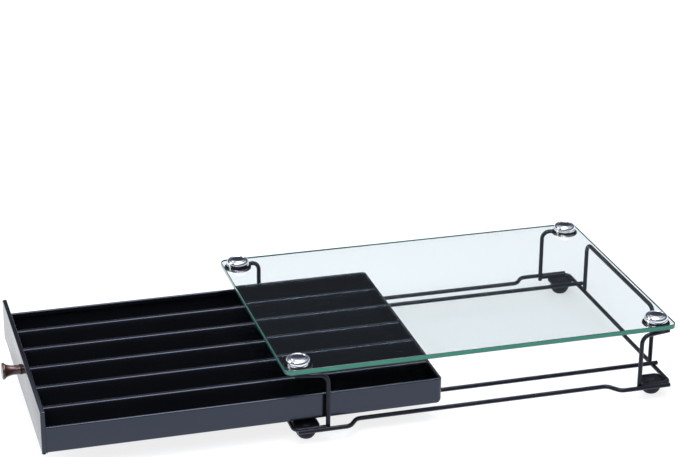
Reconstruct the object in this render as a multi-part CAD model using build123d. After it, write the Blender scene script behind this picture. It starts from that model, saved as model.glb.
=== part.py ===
from build123d import *
from math import cos, radians, tan
import os

# A pod drawer that slides under a glass shelf. The shelf stands on a welded wire frame with
# rubber feet, and the drawer runs on two wires of that frame.
# All sizes are in millimetres. +X runs from the drawer's front to the back, +Y to the left as
# seen by someone who faces the drawer's front, and +Z up, with the feet on Z = 0.

# ---- glass shelf ----
GLASS_LENGTH = 400.0          # along X
GLASS_DEPTH = 275.0           # along Y
GLASS_THICKNESS = 5.0
GLASS_CORNER_RADIUS = 7.0
GLASS_EDGE_CHAMFER = 0.6      # ground arris all round
GLASS_HEIGHT = 73.7           # floor to the underside of the glass

# ---- glass fixings, one at each corner ----
FIXING_INSET = 16.0           # glass edge to fixing centre
SCREW_RADIUS = 3.0
SCREW_HEAD_RADIUS = 5.5
SCREW_HEAD_HEIGHT = 3.0
SCREW_SOCKET = 3.0            # across the flats of the hexagon socket
GLASS_HOLE_CLEARANCE = 1.0    # round the screw, filled by the pad's collar
SCREW_CLEARANCE = 0.15        # round the screw in the tab and the pad
THREAD_CLEARANCE = 0.05       # between the screw and the cap's bore
PAD_RADIUS = 13.0
PAD_THICKNESS = 0.8
TAB_RADIUS = 14.0
TAB_THICKNESS = 1.5
CAP_RADIUS = 11.75
CAP_HEIGHT = 6.2
CAP_RIM = 1.4                 # upright part of the cap's edge
CAP_GROOVE_RADIUS = 8.6       # outside of the groove round the middle of the crown
CAP_GROOVE_WIDTH = 1.2
CAP_GROOVE_DEPTH = 0.8
CAP_DOME = 0.3                # how far the middle rises above the groove's edge
CAP_BORE_DEPTH = 4.2

# ---- wire frame ----
WIRE = 4.4                    # wire diameter
FRAME_OFFSET = 3.0            # the frame's middle is this far behind the glass's
FOOT_HEIGHT = 12.0            # floor to the underside of the base wires
CROSS_INSET = 6.0             # half the glass's length to the cross wires, from the frame's middle
CORNER_BEND = 7.0             # centre line radius of the cross wires' corners
LEG_CLEARANCE = 3.3           # drawer's side to the legs and the cross wires' arms
LEG_TO_FIXING = 23.0          # along X, before the frame is set back
LEG_BEND = 8.5
LEG_TIP = 1.3                 # how far a leg pokes out under the base wires
LEG_REACH = 31.0              # level end of a leg, along X
LEG_TOE_IN = 6.0              # how far that end runs in towards the middle
BASE_MIDDLE_INSET = 3.0       # drawer's side to the middle of a long base wire
BASE_JOG_TO_LEG = 21.0        # leg to the outer corner of a long wire's jog
BASE_JOG_LENGTH = 10.0        # along X, between the jog's two corners
BASE_JOG_BEND = 9.0
BASE_END_GAP = 2.0            # end of a long wire to the cross wire's centre line
RUNNER_INSET = 31.0           # drawer's side to a runner wire
RUNNER_OVERHANG = 0.3         # past the cross wires
ARCH_INSET = 12.0             # runner wires to the arch's legs
ARCH_BEND = 10.0
ARCH_GLASS_GAP = 0.4

# ---- corner cups and rubber feet ----
CUP_LENGTH = 24.5             # along X
CUP_DEPTH = 20.5              # along Y
CUP_WALL = 1.2
CUP_CORNER_RADIUS = 6.0
CUP_LIP = 0.6                 # cup rim above the wires' centre line
FOOT_RADIUS = 10.0            # under the cup
FOOT_BELLY_RADIUS = 9.7       # where the foot's side bulges, and how high that is
FOOT_BELLY_HEIGHT = 5.4
FOOT_SOLE_RADIUS = 5.75
FOOT_NECK_RADIUS = 3.2
FOOT_NECK_CLEARANCE = 0.1
FOOT_BUTTON_RADIUS = 5.0
FOOT_BUTTON_HEIGHT = 1.4

# ---- drawer ----
DRAWER_SHORTER = 11.0         # than the glass, front panel included
DRAWER_SIDE_INSET = 7.5       # glass edge to the drawer's side
WALL_HEIGHT = 26.3
SHEET = 1.0                   # steel sheet of the tray and the panel
RIM_WIDTH = 3.0               # rolled rim along the top of the walls
RIM_DROP = 5.0                # how far the rim turns down inside
RIM_ROUND = 1.2
CORNER_ROUND = 5.0            # upright bends between the rear wall and the side walls
REAR_BEND = 6.5               # bend between the floor and the rear wall
SIDE_BEND = 2.0               # bends between the floor and the side walls
RUNNER_CLEARANCE = 0.3        # drawer floor above the runner wires
STOP_CLEARANCE = 0.3          # rear wall to the arch with the drawer shut
OPEN_DISTANCE = 236.0         # how far the drawer is pulled out as modelled

# ---- rows for the pods ----
ROWS = 6
DIVIDER_TOP_WIDTH = 5.5
DIVIDER_SLOPE = 8.0           # degrees that each side leans
DIVIDER_BELOW_RIM = 0.8
DIVIDER_ROUND = 1.2

# ---- front panel, bumpers and knob ----
PANEL_HEIGHT = 42.4
PANEL_DEPTH = 4.3
PANEL_LIP = 6.0               # returned edge behind the flanges
PANEL_CORNER_RADIUS = 1.5
PANEL_EDGE_ROUND = 0.8
BUMPER_RADIUS = 2.0
BUMPER_HEIGHT = 1.8
BUMPER_INSET = 2.6            # panel side to bumper centre
KNOB_HEIGHT = 25.0            # drawer underside to the knob's axis
KNOB_LENGTH = 18.5
KNOB_HEAD_RADIUS = 8.2
KNOB_RIM = 2.0
KNOB_NECK_RADIUS = 4.7
KNOB_BASE_RADIUS = 5.2
KNOB_FLARE = 8.5              # length of the hollow curve under the head
KNOB_BORE_DEPTH = 10.0
KNOB_SCREW_RADIUS = 2.0
KNOB_SCREW_HEAD_RADIUS = 4.0
KNOB_SCREW_HEAD_HEIGHT = 2.0
KNOB_SCREW_REACH = 9.0        # into the knob
KNOB_HOLE_CLEARANCE = 0.3

# ---- worked out from the sizes above ----
R = WIRE / 2
BASE_Z = FOOT_HEIGHT + R                          # centre of cross and long base wires
RUNNER_Z = BASE_Z + WIRE                          # runners lie on the cross wires
DRAWER_Z = RUNNER_Z + R + RUNNER_CLEARANCE        # underside of the drawer
GLASS_TOP = GLASS_HEIGHT + GLASS_THICKNESS
TAB_TOP = GLASS_HEIGHT - PAD_THICKNESS
LEG_TOP_Z = TAB_TOP - TAB_THICKNESS - R
ARCH_TOP_Z = GLASS_HEIGHT - ARCH_GLASS_GAP - R
FIXING_X = GLASS_LENGTH / 2 - FIXING_INSET
FIXING_Y = GLASS_DEPTH / 2 - FIXING_INSET

DRAWER_LENGTH = GLASS_LENGTH - DRAWER_SHORTER
DRAWER_WIDTH = GLASS_DEPTH - 2 * DRAWER_SIDE_INSET
HALF_WIDTH = DRAWER_WIDTH / 2

# The frame, from its own middle.
CROSS_X = GLASS_LENGTH / 2 - CROSS_INSET
LEG_X = FIXING_X - LEG_TO_FIXING
ARM_Y = HALF_WIDTH + LEG_CLEARANCE + R            # legs, and the cross wires' bent arms
BASE_END_X = CROSS_X - BASE_END_GAP
BASE_OUTER_Y = ARM_Y + WIRE                       # ends of the long wires, beside the arms
BASE_MIDDLE_Y = HALF_WIDTH - BASE_MIDDLE_INSET
JOG_OUTER_X = LEG_X - BASE_JOG_TO_LEG
JOG_INNER_X = JOG_OUTER_X - BASE_JOG_LENGTH
RUNNER_Y = HALF_WIDTH - RUNNER_INSET
ARCH_Y = RUNNER_Y - ARCH_INSET

# The drawer, from the glass's middle.
REAR_X = FRAME_OFFSET + CROSS_X - R - STOP_CLEARANCE - OPEN_DISTANCE   # outside of the rear wall
PANEL_X = REAR_X - DRAWER_LENGTH                        # face of the front panel
TRAY_X = PANEL_X + PANEL_DEPTH                          # outside of the tray's front wall
FLOOR_Z = DRAWER_Z + SHEET                              # upper side of the tray's floor
WALL_TOP = DRAWER_Z + WALL_HEIGHT
ROW_GAP = (DRAWER_WIDTH - 2 * RIM_WIDTH - (ROWS - 1) * DIVIDER_TOP_WIDTH) / ROWS
ROW_PITCH = ROW_GAP + DIVIDER_TOP_WIDTH
KNOB_Z = DRAWER_Z + KNOB_HEIGHT
KNOB_TIP_X = PANEL_X - KNOB_LENGTH

# The part's origin is on the floor, under the middle of its length at rest.
ORIGIN_X = (KNOB_TIP_X + GLASS_LENGTH / 2) / 2

# End and side of each corner: (name, sign of X, sign of Y).
CORNERS = [
    ("front_right", -1, -1),
    ("front_left", -1, 1),
    ("rear_right", 1, -1),
    ("rear_left", 1, 1),
]
SIDES = [("right", -1), ("left", 1)]
ENDS = [("front", -1), ("rear", 1)]

os.makedirs("parts", exist_ok=True)


def save(name, shape):
    """Write one sub-part in the part's own frame."""
    export_step(Pos(-ORIGIN_X, 0, 0) * shape, f"parts/{name}.step")


def save_frame(name, shape):
    """Write one piece of the wire frame, which is drawn from the frame's own middle."""
    save(name, Pos(FRAME_OFFSET, 0, 0) * shape)


def wire_along(points, radii):
    """A round wire through the points, with one bend radius for each corner."""
    if len(points) == 2:
        path = Line(*points)
    else:
        path = FilletPolyline(*points, radius=radii)
    edge = path.edges()[0]
    section = Plane(origin=path @ 0, z_dir=path % 0) * Circle(R)
    return sweep(section, path=path) if len(points) > 2 else extrude(section, edge.length)


def at_corner(shape, end, side):
    """Turn a shape drawn for the rear left corner into its copy at another corner."""
    if end < 0:
        shape = mirror(shape, about=Plane.YZ)
    if side < 0:
        shape = mirror(shape, about=Plane.XZ)
    return shape


def ring(outer, inner, height):
    return extrude(Circle(outer) - Circle(inner), height)


# ---- wire frame ----
def cross_wire(end):
    """Base wire across the frame, bent at both corners into short arms that meet the legs."""
    arm_end = LEG_X + R
    points = [
        (end * arm_end, -ARM_Y, BASE_Z),
        (end * CROSS_X, -ARM_Y, BASE_Z),
        (end * CROSS_X, ARM_Y, BASE_Z),
        (end * arm_end, ARM_Y, BASE_Z),
    ]
    return wire_along(points, [CORNER_BEND, CORNER_BEND])


def base_wire(side):
    """Long base wire: beside the arms at its ends, jogged inwards along its middle."""
    outer = side * BASE_OUTER_Y
    inner = side * BASE_MIDDLE_Y
    points = [
        (-BASE_END_X, outer, BASE_Z),
        (-JOG_OUTER_X, outer, BASE_Z),
        (-JOG_INNER_X, inner, BASE_Z),
        (JOG_INNER_X, inner, BASE_Z),
        (JOG_OUTER_X, outer, BASE_Z),
        (BASE_END_X, outer, BASE_Z),
    ]
    return wire_along(points, [BASE_JOG_BEND] * 4)


def runner_wire(side):
    reach = CROSS_X + R + RUNNER_OVERHANG
    y = side * RUNNER_Y
    return wire_along([(-reach, y, RUNNER_Z), (reach, y, RUNNER_Z)], [])


def leg(end, side):
    """Upright wire whose level end carries the corner tab."""
    x, y = end * LEG_X, side * ARM_Y
    points = [
        (x, y, FOOT_HEIGHT - LEG_TIP),
        (x, y, LEG_TOP_Z),
        (x + end * LEG_REACH, y - side * LEG_TOE_IN, LEG_TOP_Z),
    ]
    return wire_along(points, [LEG_BEND])


def rear_arch():
    """Inverted U on the rear cross wire: it stiffens the frame and stops the drawer."""
    foot = BASE_Z + R
    points = [
        (CROSS_X, -ARCH_Y, foot),
        (CROSS_X, -ARCH_Y, ARCH_TOP_Z),
        (CROSS_X, ARCH_Y, ARCH_TOP_Z),
        (CROSS_X, ARCH_Y, foot),
    ]
    return wire_along(points, [ARCH_BEND, ARCH_BEND])


for name, end in ENDS:
    save_frame(f"{name}_cross_wire", cross_wire(end))
for name, side in SIDES:
    save_frame(f"{name}_base_wire", base_wire(side))
    save_frame(f"{name}_runner_wire", runner_wire(side))
for name, end, side in CORNERS:
    save_frame(f"{name}_leg", leg(end, side))
save_frame("rear_arch", rear_arch())


# ---- glass and its fixings ----
def glass():
    """Sheet of safety glass with round corners, ground edges and four fixing holes."""
    plate = extrude(RectangleRounded(GLASS_LENGTH, GLASS_DEPTH, GLASS_CORNER_RADIUS), GLASS_THICKNESS)
    rims = plate.faces().sort_by(Axis.Z)
    plate = chamfer(rims[0].edges() + rims[-1].edges(), GLASS_EDGE_CHAMFER)
    hole = extrude(Circle(SCREW_RADIUS + GLASS_HOLE_CLEARANCE), GLASS_THICKNESS)
    for name, end, side in CORNERS:
        plate -= Pos(end * FIXING_X, side * FIXING_Y, 0) * hole
    return Pos(0, 0, GLASS_HEIGHT) * plate


def tab():
    """Round steel tab, welded on top of the leg's level end."""
    blank = ring(TAB_RADIUS, SCREW_RADIUS + SCREW_CLEARANCE, TAB_THICKNESS)
    blank = fillet(blank.edges().filter_by(GeomType.CIRCLE).sort_by(SortBy.RADIUS)[-2:], TAB_THICKNESS / 4)
    return Pos(FIXING_X, FIXING_Y, TAB_TOP - TAB_THICKNESS) * blank


def pad():
    """Rubber washer under the glass, with a collar that fills the hole round the screw."""
    bore = SCREW_RADIUS + SCREW_CLEARANCE
    collar_radius = SCREW_RADIUS + GLASS_HOLE_CLEARANCE - SCREW_CLEARANCE
    flange = ring(PAD_RADIUS, bore, PAD_THICKNESS)
    collar = ring(collar_radius, bore, PAD_THICKNESS + GLASS_THICKNESS - SCREW_CLEARANCE)
    return Pos(FIXING_X, FIXING_Y, TAB_TOP) * (flange + collar)


def cap():
    """Turned cap nut: upright rim, round shoulder, a groove and a slightly domed middle."""
    shoulder = CAP_HEIGHT - CAP_DOME
    middle_radius = CAP_GROOVE_RADIUS - CAP_GROOVE_WIDTH
    with BuildPart() as part:
        with BuildSketch(Plane.XZ):
            with BuildLine():
                Polyline((0, 0), (CAP_RADIUS, 0), (CAP_RADIUS, CAP_RIM))
                TangentArc((CAP_RADIUS, CAP_RIM), (CAP_GROOVE_RADIUS, shoulder), tangent=(0, 1))
                Polyline(
                    (CAP_GROOVE_RADIUS, shoulder),
                    (CAP_GROOVE_RADIUS - CAP_GROOVE_WIDTH / 2, shoulder - CAP_GROOVE_DEPTH),
                    (middle_radius, shoulder),
                )
                TangentArc((0, CAP_HEIGHT), (middle_radius, shoulder), tangent=(1, 0))
                Line((0, CAP_HEIGHT), (0, 0))
            make_face()
        revolve(axis=Axis.Z)
    bore = extrude(Circle(SCREW_RADIUS + THREAD_CLEARANCE), CAP_BORE_DEPTH)
    return Pos(FIXING_X, FIXING_Y, GLASS_TOP) * (part.part - bore)


def glass_screw():
    """Socket head screw: its head is under the tab and its end is in the cap."""
    head_top = TAB_TOP - TAB_THICKNESS
    length = GLASS_TOP + CAP_BORE_DEPTH - THREAD_CLEARANCE - head_top
    shank = extrude(Circle(SCREW_RADIUS), length)
    head = extrude(Circle(SCREW_HEAD_RADIUS), -SCREW_HEAD_HEIGHT)
    head = fillet(head.edges().filter_by(GeomType.CIRCLE).sort_by(Axis.Z)[:1], SCREW_HEAD_HEIGHT / 4)
    socket = RegularPolygon(SCREW_SOCKET / 2, 6, major_radius=False)
    recess = Pos(0, 0, -SCREW_HEAD_HEIGHT) * extrude(socket, SCREW_HEAD_HEIGHT / 2)
    return Pos(FIXING_X, FIXING_Y, head_top) * (head + shank - recess)


save("glass_top", glass())
for name, end, side in CORNERS:
    save(f"{name}_tab", at_corner(tab(), end, side))
    save(f"{name}_pad", at_corner(pad(), end, side))
    save(f"{name}_cap", at_corner(cap(), end, side))
    save(f"{name}_glass_screw", at_corner(glass_screw(), end, side))


# ---- corner cups and feet ----
CUP_X = CROSS_X - R - CUP_LENGTH / 2
CUP_Y = ARM_Y - R - CUP_DEPTH / 2
CUP_Z = FOOT_HEIGHT


def foot_cup():
    """Pressed steel cup, welded into the corner between the cross wire and its arm."""
    height = R + CUP_LIP
    outside = extrude(RectangleRounded(CUP_LENGTH, CUP_DEPTH, CUP_CORNER_RADIUS), height)
    outside = fillet(outside.faces().sort_by(Axis.Z)[0].edges(), CUP_WALL * 0.8)
    inside = RectangleRounded(
        CUP_LENGTH - 2 * CUP_WALL, CUP_DEPTH - 2 * CUP_WALL, CUP_CORNER_RADIUS - CUP_WALL)
    hollow = Pos(0, 0, CUP_WALL) * extrude(inside, height)
    hole = extrude(Circle(FOOT_NECK_RADIUS + FOOT_NECK_CLEARANCE), CUP_WALL)
    return Pos(CUP_X, CUP_Y, CUP_Z) * (outside - hollow - hole)


def rubber_foot():
    """Bowl-shaped foot with a neck through the cup and a button that holds it there."""
    button_z = CUP_Z + CUP_WALL
    with BuildPart() as part:
        with BuildSketch(Plane.XZ):
            with BuildLine():
                Line((0, 0), (FOOT_SOLE_RADIUS, 0))
                ThreePointArc(
                    (FOOT_SOLE_RADIUS, 0),
                    (FOOT_BELLY_RADIUS, FOOT_BELLY_HEIGHT),
                    (FOOT_RADIUS, CUP_Z),
                )
                Polyline(
                    (FOOT_RADIUS, CUP_Z),
                    (FOOT_NECK_RADIUS, CUP_Z),
                    (FOOT_NECK_RADIUS, button_z),
                    (FOOT_BUTTON_RADIUS, button_z),
                    (FOOT_NECK_RADIUS, button_z + FOOT_BUTTON_HEIGHT),
                    (0, button_z + FOOT_BUTTON_HEIGHT),
                    (0, 0),
                )
            make_face()
        revolve(axis=Axis.Z)
    return Pos(CUP_X, CUP_Y, 0) * part.part


for name, end, side in CORNERS:
    save_frame(f"{name}_foot_cup", at_corner(foot_cup(), end, side))
    save_frame(f"{name}_rubber_foot", at_corner(rubber_foot(), end, side))


# ---- drawer ----
def tray_plan(start, inset):
    """The tray from above, from start to its rear, moved in from its side and rear walls."""
    outline = Rectangle(
        REAR_X - inset - start, DRAWER_WIDTH - 2 * inset, align=(Align.MIN, Align.CENTER))
    rear_corners = outline.vertices().sort_by(Axis.X)[-2:]
    return Pos(start, 0, 0) * fillet(rear_corners, CORNER_ROUND - inset)


def tray_block(inset):
    """The tray as a full block, or the room in its sheet: three outlines, one along each axis."""
    start = TRAY_X + inset
    length = REAR_X - inset - start
    width = DRAWER_WIDTH - 2 * inset
    height = WALL_HEIGHT - inset
    side_view = Rectangle(length, height, align=(Align.MIN, Align.MIN))
    low_rear = side_view.vertices().sort_by(Axis.X)[-2:].sort_by(Axis.Y)[0]
    side_view = fillet(low_rear, REAR_BEND - inset)
    end_view = Rectangle(width, height, align=(Align.CENTER, Align.MIN))
    low_corners = end_view.vertices().sort_by(Axis.Y)[:2]
    end_view = fillet(low_corners, SIDE_BEND - inset)
    block = extrude(tray_plan(start, inset), height)
    block &= Pos(start, 0, 0) * extrude(Plane.XZ * side_view, width / 2, both=True)
    block &= Pos(start, 0, 0) * extrude(Plane.YZ * end_view, length)
    return Pos(0, 0, DRAWER_Z + inset) * block


def rim_block(inset, drop, top):
    """A slab in the tray's mouth: inset from the walls' outside, between two depths."""
    return Pos(0, 0, WALL_TOP - drop) * extrude(tray_plan(TRAY_X + SHEET, inset), drop - top)


def tray():
    """Folded steel tray: a floor and four walls, with a rolled rim along three of them."""
    outside = tray_block(0)
    top_edges = outside.faces().sort_by(Axis.Z)[-1].edges().sort_by(Axis.X)
    outside = fillet(top_edges[1:], RIM_ROUND)

    # The rim is RIM_WIDTH wide on top and turns down inside, clear of the wall.
    band = rim_block(SHEET, RIM_DROP, 0)
    gap = rim_block(SHEET, RIM_DROP, SHEET) - rim_block(RIM_WIDTH - SHEET, RIM_DROP, SHEET)
    rim = band - gap - rim_block(RIM_WIDTH, RIM_DROP, 0)
    return outside - tray_block(SHEET) + rim


def divider(number):
    """Folded rail between two rows: a narrow top and sides that lean outwards to the floor."""
    height = WALL_TOP - DIVIDER_BELOW_RIM - FLOOR_Z
    lean = height * tan(radians(DIVIDER_SLOPE))
    half_top = DIVIDER_TOP_WIDTH / 2
    across = SHEET / cos(radians(DIVIDER_SLOPE))
    outer = Polyline(
        (-half_top - lean, 0),
        (-half_top, height),
        (half_top, height),
        (half_top + lean, 0),
        close=True,
    )
    inner_top = height - SHEET
    inner_half = half_top - across + SHEET * tan(radians(DIVIDER_SLOPE))
    inner = Polyline(
        (-half_top - lean + across, 0),
        (-inner_half, inner_top),
        (inner_half, inner_top),
        (half_top + lean - across, 0),
        close=True,
    )
    section = make_face(outer) - make_face(inner)
    start = TRAY_X + SHEET
    length = REAR_X - RIM_WIDTH - start
    y = -HALF_WIDTH + RIM_WIDTH + number * ROW_PITCH - DIVIDER_TOP_WIDTH / 2
    rail = extrude(Plane(origin=(0, 0, 0), x_dir=(0, 1, 0), z_dir=(1, 0, 0)) * section, length)
    top_edges = rail.edges().filter_by(Axis.X).group_by(Axis.Z)[-1]
    rail = fillet(top_edges, DIVIDER_ROUND)
    return Pos(start, y, FLOOR_Z) * rail & tray_block(SHEET)


def front_panel():
    """Folded front: a face with flanges on four sides and a returned lip behind them."""
    outline = RectangleRounded(DRAWER_WIDTH, PANEL_HEIGHT, PANEL_CORNER_RADIUS)
    plate = extrude(Plane.YZ * outline, PANEL_DEPTH)
    plate = fillet(plate.faces().sort_by(Axis.X)[0].edges(), PANEL_EDGE_ROUND)
    hollow = Box(
        PANEL_DEPTH - 2 * SHEET, DRAWER_WIDTH - 2 * SHEET, PANEL_HEIGHT - 2 * SHEET,
        align=(Align.MIN, Align.CENTER, Align.CENTER))
    back = Pos(PANEL_DEPTH - SHEET, 0, 0) * Box(
        SHEET, DRAWER_WIDTH - 2 * PANEL_LIP, PANEL_HEIGHT - 2 * PANEL_LIP,
        align=(Align.MIN, Align.CENTER, Align.CENTER))
    hole = Pos(0, 0, KNOB_HEIGHT - PANEL_HEIGHT / 2) * Rot(0, 90, 0) * Cylinder(
        KNOB_SCREW_RADIUS + KNOB_HOLE_CLEARANCE, 4 * SHEET)
    shell = plate - Pos(SHEET, 0, 0) * hollow - back - hole
    return Pos(PANEL_X, 0, DRAWER_Z + PANEL_HEIGHT / 2) * shell


def panel_bumper(side):
    """Small rubber nub under one of the panel's lower corners."""
    nub = extrude(Circle(BUMPER_RADIUS), -BUMPER_HEIGHT)
    nub = fillet(nub.edges().filter_by(GeomType.CIRCLE).sort_by(Axis.Z)[:1], BUMPER_HEIGHT / 2)
    y = HALF_WIDTH - BUMPER_INSET
    return Pos(PANEL_X + PANEL_DEPTH / 2, side * y, DRAWER_Z) * nub


def knob():
    """Turned knob: thick rim, hollow flare, slim neck and a slightly wider base."""
    head_x = KNOB_LENGTH - KNOB_RIM
    neck_x = head_x - KNOB_FLARE
    with BuildPart() as part:
        with BuildSketch(Plane.XZ):
            with BuildLine():
                Polyline(
                    (0, 0),
                    (KNOB_BASE_RADIUS, 0),
                    (KNOB_NECK_RADIUS, neck_x / 2),
                    (KNOB_NECK_RADIUS, neck_x),
                )
                TangentArc((KNOB_NECK_RADIUS, neck_x), (KNOB_HEAD_RADIUS, head_x), tangent=(0, 1))
                Polyline(
                    (KNOB_HEAD_RADIUS, head_x),
                    (KNOB_HEAD_RADIUS, KNOB_LENGTH),
                    (0, KNOB_LENGTH),
                    (0, 0),
                )
            make_face()
        revolve(axis=Axis.Z)
        head = part.edges().filter_by(GeomType.CIRCLE).sort_by(Axis.Z)[-1]
        fillet(head, KNOB_RIM / 4)
    bore = extrude(Circle(KNOB_SCREW_RADIUS + THREAD_CLEARANCE), KNOB_BORE_DEPTH)
    return Pos(PANEL_X, 0, KNOB_Z) * Rot(0, -90, 0) * (part.part - bore)


def knob_screw():
    """Pan head screw from inside the panel's hollow, through its face into the knob."""
    length = SHEET + KNOB_SCREW_REACH
    shank = extrude(Circle(KNOB_SCREW_RADIUS), length)
    head = extrude(Circle(KNOB_SCREW_HEAD_RADIUS), -KNOB_SCREW_HEAD_HEIGHT)
    head = fillet(head.edges().filter_by(GeomType.CIRCLE).sort_by(Axis.Z)[:1], KNOB_SCREW_HEAD_HEIGHT / 2)
    slot = Pos(0, 0, -KNOB_SCREW_HEAD_HEIGHT) * Box(
        2 * KNOB_SCREW_HEAD_RADIUS, KNOB_SCREW_HEAD_RADIUS / 4, KNOB_SCREW_HEAD_HEIGHT / 2,
        align=(Align.CENTER, Align.CENTER, Align.MIN))
    return Pos(PANEL_X + SHEET, 0, KNOB_Z) * Rot(0, -90, 0) * (head + shank - slot)


save("drawer_tray", tray())
for number in range(1, ROWS):
    save(f"row_divider_{number}", divider(number))
save("front_panel", front_panel())
for name, side in SIDES:
    save(f"{name}_panel_bumper", panel_bumper(side))
save("knob", knob())
save("knob_screw", knob_screw())
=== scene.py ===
"""Looks for a pod drawer under a glass shelf: welded wire stand, clear glass, folded steel drawer."""
from math import cos, pi, radians, sin

import bmesh
import bpy
from bpy.props import FloatProperty, FloatVectorProperty, IntProperty, PointerProperty
from bpy.types import Operator, Panel, PropertyGroup
from mathutils import Matrix, Vector


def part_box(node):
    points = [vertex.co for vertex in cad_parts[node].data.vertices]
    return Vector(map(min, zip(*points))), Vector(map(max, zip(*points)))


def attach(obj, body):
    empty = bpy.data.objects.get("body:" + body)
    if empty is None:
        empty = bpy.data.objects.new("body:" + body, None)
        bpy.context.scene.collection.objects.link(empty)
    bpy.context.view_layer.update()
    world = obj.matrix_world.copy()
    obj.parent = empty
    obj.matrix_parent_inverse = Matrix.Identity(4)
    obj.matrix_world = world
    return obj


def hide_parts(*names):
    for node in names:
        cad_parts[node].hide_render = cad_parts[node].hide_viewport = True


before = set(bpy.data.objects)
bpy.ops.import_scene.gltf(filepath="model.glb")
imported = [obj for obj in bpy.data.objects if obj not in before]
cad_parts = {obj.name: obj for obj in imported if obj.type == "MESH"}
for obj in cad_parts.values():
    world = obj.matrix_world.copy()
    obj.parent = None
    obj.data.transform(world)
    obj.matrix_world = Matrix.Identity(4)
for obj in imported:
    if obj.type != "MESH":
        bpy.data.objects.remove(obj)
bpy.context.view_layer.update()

bl_info = {
    "name": "Pod drawer looks",
    "version": (1, 0, 0),
    "blender": (4, 5, 0),
    "location": "3D View > Sidebar > Pod drawer",
    "description": "Builds the visible pieces of a pod drawer that slides under a glass shelf",
    "category": "Object",
}

MM = 0.001
SIDES = (("right", -1), ("left", 1))
ENDS = (("front", -1), ("rear", 1))
CORNERS = [f"{end}_{side}" for end, _ in ENDS for side, _ in SIDES]


def size(node):
    """Length, depth and height of a CAD node's box."""
    low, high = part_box(node)
    return high - low


def middle(node):
    """Centre of a CAD node's box."""
    low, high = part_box(node)
    return (low + high) / 2


def linear(code):
    """An sRGB hex colour as linear red, green and blue."""
    parts = [int(code[i:i + 2], 16) / 255 for i in (1, 3, 5)]
    return tuple(c / 12.92 if c <= 0.04045 else ((c + 0.055) / 1.055) ** 2.4 for c in parts)


# Along X, the glass and its fittings are symmetric about one place, and the wires, cups and
# feet about another, a little behind it.
GLASS_X = middle("glass_top").x
STAND_X = (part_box("front_cross_wire")[0].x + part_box("rear_cross_wire")[1].x) / 2


# ---- values that a user would change ----
def length(name, description, default):
    return FloatProperty(
        name=name, description=description, default=default, min=0.0, precision=5,
        subtype="DISTANCE", unit="LENGTH")


def colour(name, description, code):
    return FloatVectorProperty(
        name=name, description=description, default=linear(code), size=3, min=0.0, max=1.0,
        subtype="COLOR")


def share(name, description, default):
    return FloatProperty(
        name=name, description=description, default=default, min=0.0, max=1.0, subtype="FACTOR")


class StandSizes(PropertyGroup):
    """Sizes of the wire stand and its fittings."""
    wire: length("Wire", "Diameter of every wire", size("right_runner_wire").z)
    corner_bend: length("Corner bend", "Centre line radius at the ends of the cross wires", 7.0 * MM)
    leg_bend: length("Leg bend", "Centre line radius at the top of a leg", 8.5 * MM)
    arch_bend: length("Arch bend", "Centre line radius at the top of the rear arch", 10.0 * MM)
    jog_bend: length("Jog bend", "Centre line radius where the long base wires jog inwards", 9.0 * MM)
    jog_outer: length("Jog outer", "Middle of the stand to the outer corner of a jog", 140.0 * MM)
    jog_inner: length("Jog inner", "Middle of the stand to the inner corner of a jog", 130.0 * MM)
    glass_corner: length("Glass corner", "Radius of the glass's corners", 7.0 * MM)
    glass_edge: length("Glass edge", "Radius of the ground edge of the glass", 0.7 * MM)
    cup_wall: length("Cup wall", "Sheet thickness of the corner cups", 1.2 * MM)
    cup_corner: length("Cup corner", "Corner radius of the cups", 6.0 * MM)


class DrawerSizes(PropertyGroup):
    """Sizes of the folded drawer."""
    sheet: length("Sheet", "Thickness of the steel sheet", 1.0 * MM)
    rim_width: length("Rim width", "Width of the rolled rim on top of the walls", 3.0 * MM)
    rim_drop: length("Rim drop", "How far the rim turns down inside", 5.0 * MM)
    rim_round: length("Rim round", "Radius of the rim's edges", 1.2 * MM)
    corner: length("Corner", "Radius of the upright rear corners", 5.0 * MM)
    side_bend: length("Side bend", "Radius between the floor and the side walls", 2.0 * MM)
    rear_bend: length("Rear bend", "Radius between the floor and the rear wall", 6.5 * MM)
    rail_top: length("Rail top", "Width of a row divider's top", 5.5 * MM)
    rail_round: length("Rail round", "Radius of a row divider's top edges", 1.2 * MM)
    rails: IntProperty(name="Rails", description="Number of row dividers", default=5, min=1, max=12)
    panel_lip: length("Panel lip", "Returned edge behind the front panel", 6.0 * MM)
    panel_round: length("Panel round", "Radius of the front panel's edges", 1.0 * MM)


class Finishes(PropertyGroup):
    """Colours and gloss of the pieces."""
    wire: colour("Wire", "Powder coat on the wires and pressings", "#08080b")
    sheet: colour("Sheet", "Coating on the drawer", "#0e0f12")
    knob: colour("Knob", "Lacquer on the knob", "#3a211b")
    rubber: colour("Rubber", "Feet, pads and bumpers", "#17151b")
    chrome: colour("Chrome", "Corner caps", "#e4e6ea")
    zinc: colour("Zinc", "Plated screws", "#b9bcc2")
    glass: colour("Glass", "Faces of the glass", "#f3fafb")
    # Painted light: the edge's teal is partly the glass's own tint and partly painted glow, the long and
    # short edges get different painted glows, and the arrises are painted shade.
    long_edge_tint_and_glow: colour("Long edge", "Ground edge along the glass", "#0c8a70")
    short_edge_tint_and_glow: colour("Short edge", "Ground edge across the glass", "#4f8780")
    arris_shade: colour("Arris", "Fine bevels of the glass's edge, where little light comes out", "#0a3a33")
    sheet_gloss: share("Sheet roughness", "Roughness of the drawer's coating", 0.18)


# ---- nodes and materials ----
def add_node(tree, kind, values=None, links=None, **settings):
    """Add a node, set its properties and input values, and link its inputs."""
    made = tree.nodes.new(kind)
    for key, value in settings.items():
        setattr(made, key, value)
    for key, value in (values or {}).items():
        made.inputs[key].default_value = value
    for key, socket in (links or {}).items():
        tree.links.new(socket, made.inputs[key])
    return made


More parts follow.
